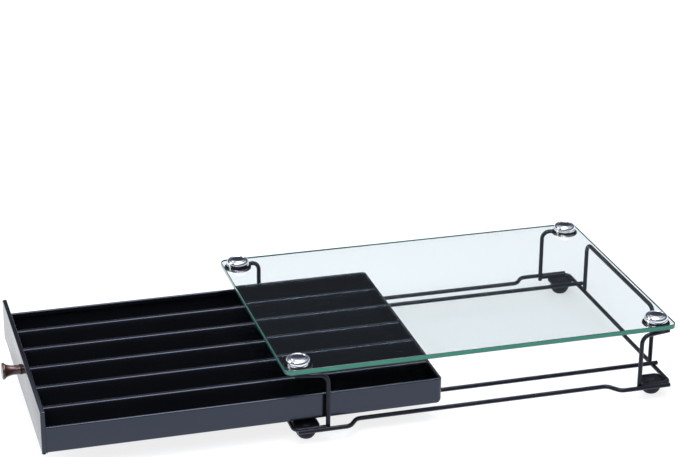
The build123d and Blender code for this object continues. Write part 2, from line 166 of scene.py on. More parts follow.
def new_material(name, **values):
    """A material with one Principled shader; values are its own sockets, by name."""
    material = bpy.data.materials.new(name)
    material.use_nodes = True
    tree = material.node_tree
    shader = tree.nodes["Principled BSDF"]
    for key, value in values.items():
        shader.inputs[key.replace("_", " ")].default_value = value
    return material, tree, shader


CLOUD = 60 * MM     # size of the broad, faint patches in every finish


def lighter(value, by):
    """A linear colour times a factor, with a trace more so that black changes too."""
    return tuple(min(1.0, c * by + 0.002) for c in value)


def mottle(tree, shader, base, *, grain, amount, lift, rough, bump):
    """Noise on Object coordinates: a little colour, roughness and height at a real grain size.

    grain and bump are lengths. The colour goes up to amount of the way from base to base times
    lift, and rough gives the lowest and highest roughness.
    """
    where = add_node(tree, "ShaderNodeTexCoord").outputs["Object"]
    noise = add_node(
        tree, "ShaderNodeTexNoise", {"Scale": 1 / grain, "Detail": 3.0, "Roughness": 0.55},
        {"Vector": where})
    broad = add_node(
        tree, "ShaderNodeTexNoise", {"Scale": 1 / CLOUD, "Detail": 2.0}, {"Vector": where})
    tint = add_node(
        tree, "ShaderNodeMix", {"A": (*base, 1.0), "B": (*lighter(base, lift), 1.0)}, data_type="RGBA")
    scaled = add_node(
        tree, "ShaderNodeMath", {1: amount}, {0: broad.outputs["Fac"]}, operation="MULTIPLY")
    tree.links.new(scaled.outputs[0], tint.inputs["Factor"])
    tree.links.new(tint.outputs["Result"], shader.inputs["Base Color"])
    rough = add_node(
        tree, "ShaderNodeMapRange", {"To Min": rough[0], "To Max": rough[1]},
        {"Value": noise.outputs["Fac"]})
    tree.links.new(rough.outputs["Result"], shader.inputs["Roughness"])
    height = add_node(
        tree, "ShaderNodeBump", {"Strength": 1.0, "Distance": bump}, {"Height": noise.outputs["Fac"]})
    tree.links.new(height.outputs["Normal"], shader.inputs["Normal"])


def powder_coat_wire():
    """Satin polyester powder coat on steel wire: nearly black, with a soft broad highlight."""
    base = tuple(bpy.context.scene.finishes.wire)
    # Painted reflection: the pale blue specular tint gives the wires' reflections a blue cast that comes
    # from the light, not from the coat.
    material, tree, shader = new_material(
        "Powder_coat_satin_black", IOR=1.42, Specular_Tint=(*linear("#d8e0ff"), 1.0))
    # The real orange peel is 0.4 mm; it is drawn at 1.6 mm so that it shows.
    mottle(tree, shader, base, grain=1.6 * MM, amount=0.5, lift=1.8, rough=(0.26, 0.36), bump=0.03 * MM)
    return material


def coated_sheet():
    """Gloss powder coat on sheet steel: a clear reflection, slightly softened by orange peel."""
    look = bpy.context.scene.finishes
    base = tuple(look.sheet)
    # Painted reflection: the pale blue specular tint gives the coat's reflections a blue cast that comes
    # from the light, not from the coat.
    material, tree, shader = new_material(
        "Powder_coat_gloss_sheet", IOR=1.66, Specular_Tint=(*linear("#d2deff"), 1.0))
    # Peel of 1 mm, drawn at 2.5 mm so that it shows.
    rough = (look.sheet_gloss * 0.8, look.sheet_gloss * 1.25)
    mottle(tree, shader, base, grain=2.5 * MM, amount=0.6, lift=1.6, rough=rough, bump=0.012 * MM)
    return material


def chrome_plate():
    """Bright nickel-chrome on turned brass: a mirror with hairline polishing rings."""
    base = tuple(bpy.context.scene.finishes.chrome)
    material, tree, shader = new_material("Chrome_plate_polished", Metallic=1.0)
    # Hairlines of 0.1 mm, drawn at 0.8 mm.
    mottle(tree, shader, base, grain=0.8 * MM, amount=0.3, lift=0.9, rough=(0.03, 0.08), bump=0.002 * MM)
    return material


def zinc_plate():
    """Bright zinc on the screws: a soft metal sheen."""
    base = tuple(bpy.context.scene.finishes.zinc)
    material, tree, shader = new_material("Zinc_plated_steel", Metallic=1.0)
    mottle(tree, shader, base, grain=1.0 * MM, amount=0.5, lift=0.8, rough=(0.28, 0.42), bump=0.01 * MM)
    return material


def bronze_lacquer():
    """Oil-rubbed bronze under clear lacquer: dark red-brown with a clean highlight."""
    base = tuple(bpy.context.scene.finishes.knob)
    material, tree, shader = new_material(
        "Bronze_lacquered", Metallic=0.3, Coat_Weight=0.5, Coat_Roughness=0.08)
    mottle(tree, shader, base, grain=1.5 * MM, amount=0.8, lift=1.7, rough=(0.22, 0.36), bump=0.01 * MM)
    return material


def moulded_rubber():
    """Moulded EPDM rubber: dark plum grey, matt, with a fine eroded mould texture."""
    base = tuple(bpy.context.scene.finishes.rubber)
    # Painted reflection: the lavender specular tint gives the rubber's reflections a cool cast that comes
    # from the light, not from the rubber.
    material, tree, shader = new_material(
        "EPDM_rubber_moulded", IOR=1.45, Specular_Tint=(*linear("#dcd8f4"), 1.0))
    mottle(tree, shader, base, grain=0.9 * MM, amount=0.6, lift=1.5, rough=(0.55, 0.75), bump=0.05 * MM)
    return material


def float_glass():
    """Clear float glass: a faint green, polished faces."""
    base = tuple(bpy.context.scene.finishes.glass)
    material, tree, shader = new_material(
        "Float_glass_polished", IOR=1.52, Transmission_Weight=1.0, Specular_IOR_Level=0.5)
    mottle(tree, shader, base, grain=40 * MM, amount=0.2, lift=0.97, rough=(0.0, 0.01), bump=0.0)
    return material


def ground_glass_edge():
    """Ground and polished edge of the same sheet: light gathers along it, so it is teal green.

    The long edges are painted a deeper glow than the short ones, and the arrises are dark lines of painted
    shade. The teal itself is partly the glass's own tint and partly painted light, the light that gathers
    along the sheet.
    """
    look = bpy.context.scene.finishes
    material, tree, shader = new_material(
        "Float_glass_ground_edge", IOR=1.52, Transmission_Weight=0.1, Coat_Weight=0.3)
    where = add_node(tree, "ShaderNodeTexCoord").outputs
    noise = add_node(
        tree, "ShaderNodeTexNoise", {"Scale": 1 / (14 * MM), "Detail": 3.0},
        {"Vector": where["Object"]})
    facing = add_node(
        tree, "ShaderNodeVectorMath", links={0: where["Normal"]}, operation="ABSOLUTE")
    parts = add_node(tree, "ShaderNodeSeparateXYZ", links={0: facing.outputs[0]}).outputs
    pale = add_node(
        tree, "ShaderNodeMix",
        {"A": (*look.long_edge_tint_and_glow, 1.0), "B": (*lighter(look.long_edge_tint_and_glow, 1.4), 1.0)},
        {"Factor": noise.outputs["Fac"]}, data_type="RGBA")
    # Painted light: edges that face along X get the paler short-edge glow.
    across = add_node(
        tree, "ShaderNodeMix", {"B": (*look.short_edge_tint_and_glow, 1.0)},
        {"Factor": parts["X"], "A": pale.outputs["Result"]}, data_type="RGBA")
    # Painted shade: the fine bevels, where the normal tilts up or down, are darkened.
    bevel = add_node(
        tree, "ShaderNodeMapRange", {"From Min": 0.2, "From Max": 0.6}, {"Value": parts["Z"]})
    with_arris_shade = add_node(
        tree, "ShaderNodeMix", {"B": (*look.arris_shade, 1.0)},
        {"Factor": bevel.outputs["Result"], "A": across.outputs["Result"]}, data_type="RGBA")
    tree.links.new(with_arris_shade.outputs["Result"], shader.inputs["Base Color"])
    rough = add_node(
        tree, "ShaderNodeMapRange", {"To Min": 0.12, "To Max": 0.25}, {"Value": noise.outputs["Fac"]})
    tree.links.new(rough.outputs["Result"], shader.inputs["Roughness"])
    return material


MATERIALS = {}


def material(maker):
    """Each finish is made once and shared."""
    if maker not in MATERIALS:
        MATERIALS[maker] = maker()
    return MATERIALS[maker]


# ---- mesh tools ----
FOLD_ANGLE = 35     # degrees; a turned or folded piece is shaded sharp from this angle on


def new_object(name, mesh):
    made = bpy.data.objects.new(name, mesh)
    bpy.context.scene.collection.objects.link(made)
    return made


def mesh_from_rings(name, rings, closed=True, capped=True, looped=False):
    """A skin over rings of points.

    closed joins each ring's last point to its first, capped puts a face on both ends, and
    looped joins the last ring to the first.
    """
    points = [p for ring in rings for p in ring]
    count = len(rings[0])
    faces = []
    for i in range(len(rings) if looped else len(rings) - 1):
        a, b = i * count, ((i + 1) % len(rings)) * count
        for j in range(count if closed else count - 1):
            k = (j + 1) % count
            faces.append((a + j, a + k, b + k, b + j))
    if capped:
        faces.append(tuple(reversed(range(count))))
        faces.append(tuple(range((len(rings) - 1) * count, len(rings) * count)))
    mesh = bpy.data.meshes.new(name)
    mesh.from_pydata([tuple(p) for p in points], [], faces)
    return mesh


def tidy_mesh(mesh, angle=40):
    """Merge doubles, point faces outwards and shade smooth up to an angle."""
    work = bmesh.new()
    work.from_mesh(mesh)
    bmesh.ops.remove_doubles(work, verts=work.verts, dist=0.002 * MM)
    bmesh.ops.dissolve_degenerate(work, edges=work.edges, dist=0.001 * MM)
    bmesh.ops.recalc_face_normals(work, faces=work.faces)
    work.to_mesh(mesh)
    work.free()
    mesh.shade_smooth()
    mesh.set_sharp_from_angle(angle=radians(angle))
    return mesh


def arc(centre, radius, start, end, steps=6):
    """Points on an arc in a plane, in degrees."""
    return [
        (centre[0] + radius * cos(radians(start + (end - start) * i / steps)),
         centre[1] + radius * sin(radians(start + (end - start) * i / steps)))
        for i in range(steps + 1)
    ]


def spun(profile, steps):
    """Rings of points about Z from (radius, height) points."""
    return [
        [(r * cos(2 * pi * i / steps), r * sin(2 * pi * i / steps), z) for i in range(steps)]
        for r, z in profile
    ]


def turned(name, profile, steps=64):
    """A turned piece about Z, whose profile starts and ends on the axis."""
    return tidy_mesh(mesh_from_rings(name, spun(profile, steps)), FOLD_ANGLE)


def turned_ring(name, profile, steps=64):
    """A turned piece with a hole: the profile closes on itself."""
    return tidy_mesh(mesh_from_rings(name, spun(profile, steps), capped=False, looped=True), FOLD_ANGLE)


def rounded_loop(half_x, half_y, radius, steps=8):
    """Corner-rounded rectangle as points, anticlockwise."""
    radius = max(radius, 0.01 * MM)
    cx, cy = half_x - radius, half_y - radius
    return (arc((cx, cy), radius, 0, 90, steps) + arc((-cx, cy), radius, 90, 180, steps)
            + arc((-cx, -cy), radius, 180, 270, steps) + arc((cx, -cy), radius, 270, 360, steps))


def plain(source, name):
    """The evaluated result of an object's modifiers as a plain mesh object at the origin."""
    bpy.context.view_layer.update()
    graph = bpy.context.evaluated_depsgraph_get()
    mesh = bpy.data.meshes.new_from_object(source.evaluated_get(graph), depsgraph=graph)
    bpy.data.objects.remove(source)
    mesh.name = name
    return new_object(name, tidy_mesh(mesh))


def hand_over(piece, body, slot, *nodes):
    """Put a finished piece on its CAD body, in place of its CAD nodes."""
    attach(piece, body)
    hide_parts(*nodes)


def set_only_material(piece, made):
    piece.data.materials.clear()
    piece.data.materials.append(made)


# ---- Geometry Nodes trees ----
def new_tree(name, sockets):
    """A modifier tree with a Geometry input and output and these named inputs."""
    tree = bpy.data.node_groups.new(name, "GeometryNodeTree")
    tree.is_modifier = True
    tree.interface.new_socket("Geometry", in_out="INPUT", socket_type="NodeSocketGeometry")
    for label, kind in sockets:
        tree.interface.new_socket(label, in_out="INPUT", socket_type=kind)
    tree.interface.new_socket("Geometry", in_out="OUTPUT", socket_type="NodeSocketGeometry")
    return tree, add_node(tree, "NodeGroupInput").outputs


def close_tree(tree, geometry, finish):
    """Realize Instances and Set Material, then the group's output."""
    real = add_node(tree, "GeometryNodeRealizeInstances", links={"Geometry": geometry})
    painted = add_node(
        tree, "GeometryNodeSetMaterial", links={"Geometry": real.outputs[0], "Material": finish})
    add_node(tree, "NodeGroupOutput", links={"Geometry": painted.outputs[0]})


def with_tree(source, tree, values):
    """Put a tree on an object and set its inputs by socket identifier."""
    modifier = source.modifiers.new(tree.name, "NODES")
    modifier.node_group = tree
    for item in tree.interface.items_tree:
        if item.item_type == "SOCKET" and item.in_out == "INPUT" and item.name in values:
            modifier[item.identifier] = values[item.name]
    return source


def wire_tree():
    """Round wire along a path whose corners get one bend radius."""
    tree, given = new_tree("Bent_wire", [
        ("Radius", "NodeSocketFloat"), ("Bend", "NodeSocketFloat"),
        ("Finish", "NodeSocketMaterial")])
    bent = add_node(
        tree, "GeometryNodeFilletCurve", {"Count": 10, "Limit Radius": True},
        {"Curve": given["Geometry"], "Radius": given["Bend"]}, mode="POLY")
    section = add_node(
        tree, "GeometryNodeCurvePrimitiveCircle", {"Resolution": 20}, {"Radius": given["Radius"]})
    skin = add_node(
        tree, "GeometryNodeCurveToMesh", {"Fill Caps": True},
        {"Curve": bent.outputs[0], "Profile Curve": section.outputs[0]})
    close_tree(tree, skin.outputs[0], given["Finish"])
    return tree


def corner_tree():
    """Copies of a fitting at the four corners of a rectangle."""
    tree, given = new_tree("On_four_corners", [
        ("Spacing X", "NodeSocketFloat"), ("Spacing Y", "NodeSocketFloat"),
        ("Middle", "NodeSocketVector"), ("Finish", "NodeSocketMaterial")])
    grid = add_node(
        tree, "GeometryNodeMeshGrid", {"Vertices X": 2, "Vertices Y": 2},
        {"Size X": given["Spacing X"], "Size Y": given["Spacing Y"]})
    placed = add_node(
        tree, "GeometryNodeTransform",
        links={"Geometry": grid.outputs[0], "Translation": given["Middle"]})
    copies = add_node(
        tree, "GeometryNodeInstanceOnPoints",
        links={"Points": placed.outputs[0], "Instance": given["Geometry"]})
    close_tree(tree, copies.outputs[0], given["Finish"])
    return tree


def row_tree():
    """Equal steps of a rail across the drawer."""
    tree, given = new_tree("Rows_of_rails", [
        ("Count", "NodeSocketInt"), ("Start", "NodeSocketVector"), ("Step", "NodeSocketVector"),
        ("Finish", "NodeSocketMaterial")])
    line = add_node(
        tree, "GeometryNodeMeshLine", links={
            "Count": given["Count"], "Start Location": given["Start"], "Offset": given["Step"]},
        mode="OFFSET", count_mode="TOTAL")
    copies = add_node(
        tree, "GeometryNodeInstanceOnPoints",
        links={"Points": line.outputs[0], "Instance": given["Geometry"]})
    close_tree(tree, copies.outputs[0], given["Finish"])
    return tree


def bent_wire(name, points, bend, tree):
    """One wire through the points, as a plain mesh."""
    curve = bpy.data.curves.new(name, "CURVE")
    curve.dimensions = "3D"
    line = curve.splines.new("POLY")
    line.points.add(len(points) - 1)
    for point, place in zip(line.points, points):
        point.co = (*place, 1.0)
    source = with_tree(new_object(f"{name}_path", curve), tree, {
        "Radius": bpy.context.scene.stand_sizes.wire / 2, "Bend": bend,
        "Finish": material(powder_coat_wire)})
    return plain(source, name)


def on_corners(name, mesh, centre, spacing, finish):
    """Four copies of a fitting as one plain mesh."""
    source = with_tree(new_object(f"{name}_one", mesh), corner_tree(), {
        "Spacing X": spacing[0], "Spacing Y": spacing[1], "Middle": centre, "Finish": finish})
    return plain(source, name)


# ---- pieces ----
# Fine sizes of the fittings that no CAD box gives.
GLASS_HOLE = 4.0 * MM       # radii
SCREW_HOLE = 3.15 * MM
PAD_COLLAR = 3.85 * MM
CUP_HOLE = 3.3 * MM
CAP_RIM = 1.4 * MM          # upright part of a cap's edge
CAP_DOME = 0.3 * MM         # rise of a cap's middle over its groove
CAP_GROOVE = 8.6 * MM       # outer radius, width and depth of the groove
CAP_GROOVE_WIDTH = 1.2 * MM
CAP_GROOVE_DIP = 0.8 * MM
FOOT_RADIUS = 10.0 * MM
FOOT_SOLE = 5.75 * MM
FOOT_NECK = 3.2 * MM
FOOT_BUTTON = 5.0 * MM
FOOT_BOWL = ((-1.162 * MM, 9.201 * MM), 11.508 * MM, -53.08, 14.08, 14)     # arc of the foot's side


class PODDRAWER_OT_wires(Operator):
    """Bend the wires of the stand"""
    bl_idname = "poddrawer.wires"
    bl_label = "Stand wires"

    def execute(self, context):
        given = context.scene.stand_sizes
        r = given.wire / 2
        tree = wire_tree()
        base_z = middle("front_cross_wire").z
        cross_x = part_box("rear_cross_wire")[1].x - STAND_X - r
        arm_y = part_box("rear_cross_wire")[1].y - r
        arm_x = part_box("rear_cross_wire")[0].x - STAND_X
        for name, end in ENDS:
            wire = bent_wire(f"{name}_cross_wire_bent", [
                (STAND_X + end * arm_x, -arm_y, base_z), (STAND_X + end * cross_x, -arm_y, base_z),
                (STAND_X + end * cross_x, arm_y, base_z), (STAND_X + end * arm_x, arm_y, base_z)],
                given.corner_bend, tree)
            hand_over(wire, "stand", "coated_wire", f"{name}_cross_wire")

        base_low, base_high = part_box("left_base_wire")
        outer, inner, reach = base_high.y - r, base_low.y + r, base_high.x - STAND_X
        xs = (-reach, -given.jog_outer, -given.jog_inner, given.jog_inner, given.jog_outer, reach)
        ys = (outer, outer, inner, inner, outer, outer)
        run_low, run_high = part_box("left_runner_wire")
        runner = middle("left_runner_wire")
        for name, side in SIDES:
            wire = bent_wire(
                f"{name}_base_wire_bent", [(STAND_X + x, side * y, base_z) for x, y in zip(xs, ys)],
                given.jog_bend, tree)
            hand_over(wire, "stand", "coated_wire", f"{name}_base_wire")
            y = side * runner.y
            wire = bent_wire(
                f"{name}_runner_wire_cut", [(run_low.x, y, runner.z), (run_high.x, y, runner.z)],
                given.corner_bend, tree)
            hand_over(wire, "stand", "coated_wire", f"{name}_runner_wire")

        leg_low, leg_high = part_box("rear_left_leg")
        leg_x, leg_y = leg_low.x - STAND_X + r, leg_high.y - r
        # The bent top's direction from above, and the middle of its cut end.
        slant = Vector((leg_high.x - leg_low.x - r, 2 * r - (leg_high.y - leg_low.y))).normalized()
        tip = Vector((leg_high.x - STAND_X + r * slant.y, leg_low.y + r * slant.x))
        for end_name, end in ENDS:
            for side_name, side in SIDES:
                name = f"{end_name}_{side_name}_leg"
                wire = bent_wire(f"{name}_bent", [
                    (STAND_X + end * leg_x, side * leg_y, leg_low.z),
                    (STAND_X + end * leg_x, side * leg_y, leg_high.z - r),
                    (STAND_X + end * tip.x, side * tip.y, leg_high.z - r)], given.leg_bend, tree)
                hand_over(wire, "stand", "coated_wire", name)

        low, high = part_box("rear_arch")
        x, y, z = middle("rear_arch").x, high.y - r, high.z - r
        wire = bent_wire(
            "rear_arch_bent", [(x, -y, low.z), (x, -y, z), (x, y, z), (x, y, low.z)],
            given.arch_bend, tree)
        hand_over(wire, "stand", "coated_wire", "rear_arch")
        return {"FINISHED"}


class PODDRAWER_OT_glass(Operator):
    """Cut the glass shelf, with its ground edge and four fixing holes"""
    bl_idname = "poddrawer.glass"
    bl_label = "Glass shelf"

    def execute(self, context):
        given = context.scene.stand_sizes
        centre, span = middle("glass_top"), size("glass_top")
        fixing = middle("rear_left_cap") - centre
        curve = bpy.data.curves.new("glass_outline", "CURVE")
        curve.dimensions = "2D"
        curve.fill_mode = "BOTH"
        curve.extrude = span.z / 2 - given.glass_edge
        curve.bevel_depth = given.glass_edge
        curve.bevel_resolution = 2
        curve.offset = -given.glass_edge
        outlines = [rounded_loop(span.x / 2, span.y / 2, given.glass_corner, 12)]
        for sx in (-1, 1):
            for sy in (-1, 1):
                outlines.append(arc((sx * fixing.x, sy * fixing.y), GLASS_HOLE, 0, 360, 32)[:-1])
        for outline in outlines:
            line = curve.splines.new("POLY")
            line.points.add(len(outline) - 1)
            for point, (x, y) in zip(line.points, outline):
                point.co = (x, y, 0.0, 1.0)
            line.use_cyclic_u = True
        piece = plain(new_object("glass_outline", curve), "glass_shelf")
        piece.data.transform(Matrix.Translation(centre))
        set_only_material(piece, material(float_glass))
        piece.data.materials.append(material(ground_glass_edge))
        for face in piece.data.polygons:
            flat = abs(face.normal.z) > 0.999
            face.material_index = 0 if flat else 1
            face.use_smooth = not flat
        hand_over(piece, "stand", "glass", "glass_top")
        return {"FINISHED"}


class PODDRAWER_OT_fittings(Operator):
    """Turn and press the fittings of the four corners"""
    bl_idname = "poddrawer.fittings"
    bl_label = "Corner fittings"

    def caps(self, fixing):
        span, z0 = size("rear_left_cap"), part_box("rear_left_cap")[0].z
        r, groove, width = span.x / 2, CAP_GROOVE, CAP_GROOVE_WIDTH
        rise = span.z - CAP_DOME - CAP_RIM
        top = z0 + CAP_RIM + rise           # where the crown meets the groove
        bottom = top - CAP_GROOVE_DIP
        profile = [(0, z0), (r - 0.2 * MM, z0), (r, z0 + 0.2 * MM), (r, z0 + CAP_RIM)]
        profile += [
            (groove + (r - groove) * cos(radians(a)) ** 0.9, z0 + CAP_RIM + rise * sin(radians(a)))
            for a in range(10, 81, 10)]
        profile += [
            (groove, top), (groove - 0.15 * MM, top - 0.08 * MM), (groove - width * 0.4, bottom),
            (groove - width * 0.6, bottom), (groove - width + 0.1 * MM, top - 0.1 * MM),
            (groove - width - 0.1 * MM, top)]
        profile += [(groove * k, top + CAP_DOME * (1 - k * k)) for k in (0.75, 0.5, 0.25)]
        profile += [(0, z0 + span.z)]
        piece = on_corners("corner_caps", turned("cap", profile), *fixing, material(chrome_plate))
        hand_over(piece, "stand", "chrome", *[f"{c}_cap" for c in CORNERS])

    def tabs_and_pads(self, fixing):
        low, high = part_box("rear_left_tab")
        r, hole, e = size("rear_left_tab").x / 2, SCREW_HOLE, 0.35 * MM
        z0, z1 = low.z, high.z
        profile = [(hole, z0), (r - e, z0), (r, z0 + e), (r, z1 - e), (r - e, z1), (hole, z1)]
        piece = on_corners(
            "corner_tabs", turned_ring("tab", profile), *fixing, material(powder_coat_wire))
        hand_over(piece, "stand", "coated_wire", *[f"{c}_tab" for c in CORNERS])

        low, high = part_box("rear_left_pad")
        r, collar, e = size("rear_left_pad").x / 2, PAD_COLLAR, 0.2 * MM
        z0, z1, top = low.z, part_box("glass_top")[0].z, high.z
        profile = [
            (hole, z0), (r - e, z0), (r, z0 + e), (r, z1 - e), (r - e, z1), (collar, z1), (collar, top),
            (hole, top)]
        piece = on_corners("corner_pads", turned_ring("pad", profile), *fixing, material(moulded_rubber))
        hand_over(piece, "stand", "black_rubber", *[f"{c}_pad" for c in CORNERS])

    def cups_and_feet(self, foot):
        given = bpy.context.scene.stand_sizes
        low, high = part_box("rear_left_foot_cup")
        half, wall = size("rear_left_foot_cup") / 2, given.cup_wall
        z0, z1 = low.z, high.z
        e = wall * 0.7
        steps = [
            (e, z0), (e * 0.3, z0 + e * 0.3), (0, z0 + e), (0, z1 - wall * 0.4), (wall * 0.4, z1),
            (wall * 0.6, z1), (wall, z1 - wall * 0.4), (wall, z0 + wall * 1.4),
            (wall * 1.4, z0 + wall)]
        rings = [
            [(x, y, z) for x, y in rounded_loop(
                half.x - inset, half.y - inset, given.cup_corner - inset)]
            for inset, z in steps]
        count = len(rings[0])
        turns = [2 * pi * (i + 0.5) / count for i in range(count)]
        inner = [(CUP_HOLE * cos(a), CUP_HOLE * sin(a)) for a in turns]
        rings = [[(x, y, z0) for x, y in inner]] + rings + [[(x, y, z0 + wall) for x, y in inner]]
        mesh = tidy_mesh(mesh_from_rings("cup", rings, capped=False, looped=True), 50)
        piece = on_corners("corner_cups", mesh, *foot, material(powder_coat_wire))
        hand_over(piece, "stand", "coated_wire", *[f"{c}_foot_cup" for c in CORNERS])

        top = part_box("rear_left_rubber_foot")[1].z
        r, neck, button = FOOT_RADIUS, FOOT_NECK, FOOT_BUTTON
        profile = [(0, 0), (FOOT_SOLE - 0.4 * MM, 0)] + arc(*FOOT_BOWL)[1:-1] + [
            (r, z0 - 0.3 * MM), (r - 0.3 * MM, z0), (neck, z0), (neck, z0 + wall), (button, z0 + wall),
            (button * 0.93, z0 + wall + 0.4 * MM), (neck + 0.4 * MM, top - 0.1 * MM), (neck, top), (0, top)]
        piece = on_corners("rubber_feet", turned("foot", profile), *foot, material(moulded_rubber))
        hand_over(piece, "stand", "black_rubber", *[f"{c}_rubber_foot" for c in CORNERS])

    def execute(self, context):
        cap, foot = middle("rear_left_cap"), middle("rear_left_foot_cup")
        fixing = ((GLASS_X, 0.0, 0.0), (2 * (cap.x - GLASS_X), 2 * cap.y))
        standing = ((STAND_X, 0.0, 0.0), (2 * (foot.x - STAND_X), 2 * foot.y))
        self.caps(fixing)
        self.tabs_and_pads(fixing)
        self.cups_and_feet(standing)
        for corner in CORNERS:
            set_only_material(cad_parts[f"{corner}_glass_screw"], material(zinc_plate))
        return {"FINISHED"}


class PODDRAWER_OT_tray(Operator):
    """Fold the drawer's tray, with its rolled rim"""
    bl_idname = "poddrawer.tray"
    bl_label = "Drawer tray"

    def wall_section(self, bend, given, height):
        """Inset and height of the wall and rim, from under the floor to its upper side."""
        t, e, w = given.sheet, given.rim_round, given.rim_width
        low = height - given.rim_drop
        outside = arc((bend, bend), bend, 270, 180, 6)
        over = arc((e, height - e), e, 180, 90, 4)
        into = arc((w - e, height - e), e, 90, 0, 4)
        lip = [
            (w, low + t / 2), (w - t / 2, low), (w - t, low + t / 2), (w - t, height - t),
            (t, height - t)]
        inside = arc((bend, bend), bend - t, 180, 270, 6)
        return outside + over + into + lip + inside

    def stations(self, given, low, high):
        """Place, inward direction and floor bend along the three walls."""
        r, half = given.corner, high.y
        first, last = low.x + given.sheet, high.x
        turns, blends, step = 8, 5, 1.6 * MM    # stations round a corner and past it, and their gap
        made = [
            ((first, -half), (0, 1), given.side_bend), ((last - r, -half), (0, 1), given.side_bend)]
        for i in range(1, turns + 1):
            a = radians(-90 + 90 * i / turns)
            bend = given.side_bend + (r - given.side_bend) * i / turns
            made.append(((last - r + r * cos(a), -half + r + r * sin(a)), (-cos(a), -sin(a)), bend))
        for i in range(1, blends + 1):
            bend = r + (given.rear_bend - r) * (1 - cos(pi * i / blends)) / 2
            made.append(((last, -half + r + step * i), (-1, 0), bend))
        return made + [((x, -y), (nx, -ny), bend) for (x, y), (nx, ny), bend in reversed(made)]

    def execute(self, context):
        given = context.scene.drawer_sizes
        low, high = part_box("drawer_tray")
        height = high.z - low.z
        rings = [
            [(x + nx * inset, y + ny * inset, low.z + z)
             for inset, z in self.wall_section(bend, given, height)]
            for (x, y), (nx, ny), bend in self.stations(given, low, high)]
        mesh = mesh_from_rings("drawer_tray_folded", rings, closed=False, capped=False)
        count, total = len(rings[0]), len(rings)
        work = bmesh.new()
        work.from_mesh(mesh)
        work.verts.ensure_lookup_table()
        # Under and upper side of the floor, then the walls' two cut ends.
        work.faces.new([work.verts[i * count] for i in range(total)])
        work.faces.new([work.verts[i * count + count - 1] for i in reversed(range(total))])
        work.faces.new([work.verts[j] for j in reversed(range(count))])
        work.faces.new([work.verts[(total - 1) * count + j] for j in range(count)])
        # Front wall, a plain sheet behind the panel.
        wall = bmesh.ops.create_cube(work, size=1.0)["verts"]
        span = Vector((given.sheet, high.y - low.y, height))
        bmesh.ops.scale(work, vec=span, verts=wall)
        bmesh.ops.translate(
            work, vec=(low.x + span.x / 2, 0.0, low.z + height / 2), verts=wall)
        work.to_mesh(mesh)
        work.free()
        piece = new_object("drawer_tray_folded", tidy_mesh(mesh, FOLD_ANGLE))
        set_only_material(piece, material(coated_sheet))
        hand_over(piece, "drawer", "coated_sheet", "drawer_tray")
        return {"FINISHED"}


class PODDRAWER_OT_rails(Operator):
    """Fold one row divider and repeat it across the tray"""
    bl_idname = "poddrawer.rails"
    bl_label = "Row dividers"

    def execute(self, context):
        given = context.scene.drawer_sizes
        low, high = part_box("row_divider_1")
        height, foot = high.z - low.z, (high.y - low.y) / 2
        half, t, e = given.rail_top / 2, given.sheet, given.rail_round
        lean = (foot - half) / height
        slope = 8                           # degrees off upright
        outer = [(-foot, 0.0)] + arc((-half + e, height - e), e, 180 - slope, 90, 5)
        outer += arc((half - e, height - e), e, 90, slope, 5) + [(foot, 0.0)]
        inner = [
            (foot - t, 0.0), (half - t + lean * t, height - t),
            (-half + t - lean * t, height - t), (-foot + t, 0.0)]
        rings = [[(x, y, low.z + z) for y, z in outer + inner] for x in (low.x, high.x)]
        mesh = tidy_mesh(mesh_from_rings("rail", rings), FOLD_ANGLE)
        step = middle("row_divider_2").y - middle("row_divider_1").y
        source = with_tree(new_object("rail_one", mesh), row_tree(), {
            "Count": given.rails, "Start": (0.0, middle("row_divider_1").y, 0.0),
            "Step": (0.0, step, 0.0), "Finish": material(coated_sheet)})
        piece = plain(source, "row_dividers")
        nodes = [f"row_divider_{i + 1}" for i in range(given.rails)]
        hand_over(piece, "drawer", "coated_sheet", *nodes)
        return {"FINISHED"}


